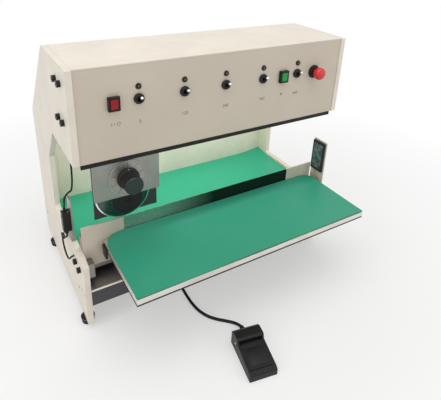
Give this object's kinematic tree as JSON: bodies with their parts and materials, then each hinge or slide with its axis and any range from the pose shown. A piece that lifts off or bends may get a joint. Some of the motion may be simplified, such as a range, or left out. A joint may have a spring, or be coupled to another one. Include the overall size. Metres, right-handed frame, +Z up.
{
  "type": "pcb depaneling machine",
  "caption": "Bench machine that parts grooved circuit boards: a round blade on a sliding carriage rolls along a straight lower blade, started by a foot pedal.",
  "frame": {"origin": "on the floor, under the middle of the box round the machine and its pedal", "axes": "+X to the right along the blade, +Y from the operator to the back, +Z up"},
  "size_m": [0.671, 0.7612, 0.589],
  "materials": {
    "cream_paint": "satin cream powder coat",
    "beige_paint": "satin beige powder coat",
    "dark_paint": "dark grey paint",
    "gloss_black": "gloss black paint",
    "bright_steel": "ground steel",
    "grey_plate": "grey anodised",
    "tray_metal": "plain aluminium",
    "dial_silver": "spun aluminium",
    "black_steel": "black oxide",
    "green_mat": "smooth anti-static rubber",
    "black_rubber": "black rubber",
    "black_plastic": "black moulded plastic",
    "sensor_window": "dark window",
    "chrome": "bright plating",
    "red_key": "red translucent plastic",
    "green_key": "green translucent plastic",
    "estop_red": "red plastic",
    "brass": "machined brass",
    "board_green": "circuit board"
  },
  "bodies": {
    "frame": {"left_side_plate": "cream_paint", "right_side_plate": "cream_paint", "head_front_panel": "beige_paint", "head_top_cover": "cream_paint", "rear_panel": "cream_paint", "throat_back_panel": "cream_paint", "rear_table": "tray_metal", "rear_mat": "green_mat", "blade_beam": "dark_paint", "lower_blade": "bright_steel", "left_blade_guard": "beige_paint", "right_blade_guard": "beige_paint", "front_tray": "tray_metal", "tray_mat": "green_mat", "tray_brackets": "dark_paint", "base_shelf": "gloss_black", "front_beam": "dark_paint", "rubber_feet": "black_rubber", "skirt_strip": "black_rubber", "guide_beam": "dark_paint", "top_tie_bar": "dark_paint", "guide_rails": "bright_steel", "side_screws": "black_steel", "left_sensor_bracket": "bright_steel", "right_sensor_bracket": "beige_paint", "light_sensor": "black_plastic", "sensor_reflector": "sensor_window", "sensor_cable": "black_rubber", "power_supply": "tray_metal", "control_board": "board_green", "drive_motor": "dark_paint", "screw_bearings": "dark_paint", "mains_inlet": "black_plastic", "pedal_gland": "black_rubber", "button_bezels": "black_plastic", "lamp_bezels": "black_plastic", "toggle_bodies": "black_plastic", "estop_collar": "black_plastic", "pedal_base": "black_plastic", "pedal_cord": "black_rubber", "pedal_cord_coil": "black_rubber"},
    "carriage": {"carriage_plate": "grey_plate", "slide_blocks": "bright_steel", "height_dial": "dial_silver", "screw_nut": "brass", "blade_cover": "dark_paint"},
    "blade_head": {"arbor_block": "black_steel"},
    "blade": {"round_blade": "bright_steel", "blade_arbor": "black_steel"},
    "knob": {"height_knob": "black_plastic"},
    "screw": {"lead_screw": "bright_steel"},
    "power_key": {"power_button": "red_key"},
    "start_key": {"start_button": "green_key"},
    "estop": {"estop_button": "estop_red"},
    "treadle": {"pedal_treadle": "black_plastic"},
    "toggle_1": {"toggle_lever_1": "chrome"},
    "toggle_2": {"toggle_lever_2": "chrome"},
    "toggle_3": {"toggle_lever_3": "chrome"},
    "toggle_4": {"toggle_lever_4": "chrome"},
    "toggle_5": {"toggle_lever_5": "chrome"}
  },
  "joints": [
    {"name": "carriage_slide", "type": "slide", "parent": "frame", "child": "carriage", "axis": [1, 0, 0], "range_m": [0, 0.45]},
    {"name": "blade_height", "type": "slide", "parent": "carriage", "child": "blade_head", "axis": [0, 0, 1], "range_m": [-0.0015, 0.0025]},
    {"name": "blade_spin", "type": "hinge", "parent": "blade_head", "child": "blade", "pos_m": [-0.2185, -0.02914, 0.298], "axis": [0, 1, 0], "continuous": true},
    {"name": "knob_turn", "type": "hinge", "parent": "carriage", "child": "knob", "pos_m": [-0.2185, -0.07614, 0.352], "axis": [0, -1, 0], "range_deg": [-113, 188]},
    {"name": "screw_turn", "type": "hinge", "parent": "frame", "child": "screw", "pos_m": [-0.2435, -0.00214, 0.444], "axis": [1, 0, 0], "continuous": true},
    {"name": "power_press", "type": "slide", "parent": "frame", "child": "power_key", "axis": [0, 1, 0], "range_m": [0, 0.003], "stiffness_N_per_m": 500, "springref_m": -0.002},
    {"name": "start_press", "type": "slide", "parent": "frame", "child": "start_key", "axis": [0, 1, 0], "range_m": [0, 0.003], "stiffness_N_per_m": 500, "springref_m": -0.002},
    {"name": "estop_press", "type": "slide", "parent": "frame", "child": "estop", "axis": [0, 1, 0], "range_m": [0, 0.004], "stiffness_N_per_m": 900, "springref_m": -0.002},
    {"name": "pedal_press", "type": "hinge", "parent": "frame", "child": "treadle", "pos_m": [-0.04462, -0.27557, 0.02], "axis": [0.9816, -0.1908, 0], "range_deg": [0, 5], "stiffness_Nm_per_rad": 4, "springref_deg": -5.73},
    {"name": "toggle_tilt_1", "type": "hinge", "parent": "frame", "child": "toggle_1", "pos_m": [-0.1935, -0.07214, 0.52], "axis": [1, 0, 0], "range_deg": [0, 36]},
    {"name": "toggle_tilt_2", "type": "hinge", "parent": "frame", "child": "toggle_2", "pos_m": [-0.09825, -0.07214, 0.52], "axis": [1, 0, 0], "range_deg": [0, 36]},
    {"name": "toggle_tilt_3", "type": "hinge", "parent": "frame", "child": "toggle_3", "pos_m": [-0.003, -0.07214, 0.52], "axis": [1, 0, 0], "range_deg": [0, 36]},
    {"name": "toggle_tilt_4", "type": "hinge", "parent": "frame", "child": "toggle_4", "pos_m": [0.09225, -0.07214, 0.52], "axis": [1, 0, 0], "range_deg": [0, 36]},
    {"name": "toggle_tilt_5", "type": "hinge", "parent": "frame", "child": "toggle_5", "pos_m": [0.1875, -0.07214, 0.52], "axis": [1, 0, 0], "range_deg": [0, 36]}
  ],
  "couplings": [
    {"joint": "knob_turn", "follows": "blade_height", "rad_per_m": 1309},
    {"joint": "screw_turn", "follows": "carriage_slide", "rad_per_m": 251.33}
  ]
}
